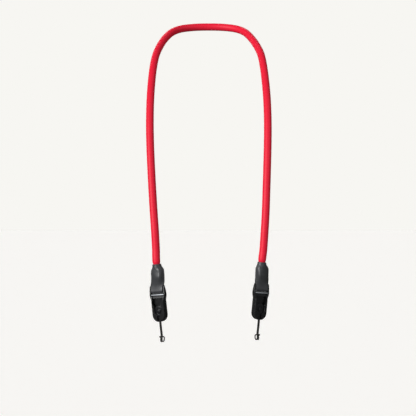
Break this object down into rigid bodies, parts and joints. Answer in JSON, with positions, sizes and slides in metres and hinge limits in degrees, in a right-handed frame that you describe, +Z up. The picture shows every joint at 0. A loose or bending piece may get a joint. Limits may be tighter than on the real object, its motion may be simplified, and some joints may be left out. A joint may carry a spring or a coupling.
{
  "type": "rope camera strap",
  "caption": "Red braided rope neck strap for a camera, with folded black leather ends, swinging quick-release links and corded discs.",
  "frame": {"origin": "middle of the rope where it rests on the nape of the neck", "axes": "+Z up, -Y to the wearer's front, +X to the right as seen from the front"},
  "size_m": [0.1725, 0.194, 0.4524],
  "materials": {
    "rope": "tightly braided polyester sheath, soft sheen",
    "leather": "smooth black leather with a fine grain and dark stitching",
    "link_plastic": "satin moulded black plastic",
    "bar_steel": "polished steel",
    "disc_plastic": "satin moulded black plastic",
    "tether_cord": "thin braided cord"
  },
  "bodies": {
    "strap": {"rope": "rope", "leather_end_left": "leather", "leather_end_right": "leather"},
    "left_link": {"link_housing_left": "link_plastic", "steel_bar_left": "bar_steel", "anchor_disc_left": "disc_plastic", "tether_left": "tether_cord"},
    "right_link": {"link_housing_right": "link_plastic", "steel_bar_right": "bar_steel", "anchor_disc_right": "disc_plastic", "tether_right": "tether_cord"}
  },
  "joints": [
    {"name": "left_link_swing", "type": "hinge", "parent": "strap", "child": "left_link", "pos_m": [-0.069, -0.18, -0.3779], "axis": [0.894, -0.4384, 0.0924], "range_deg": [-90, 90]},
    {"name": "right_link_swing", "type": "hinge", "parent": "strap", "child": "right_link", "pos_m": [0.0701, -0.18, -0.3752], "axis": [0.8872, 0.454, -0.0823], "range_deg": [-90, 90]}
  ]
}
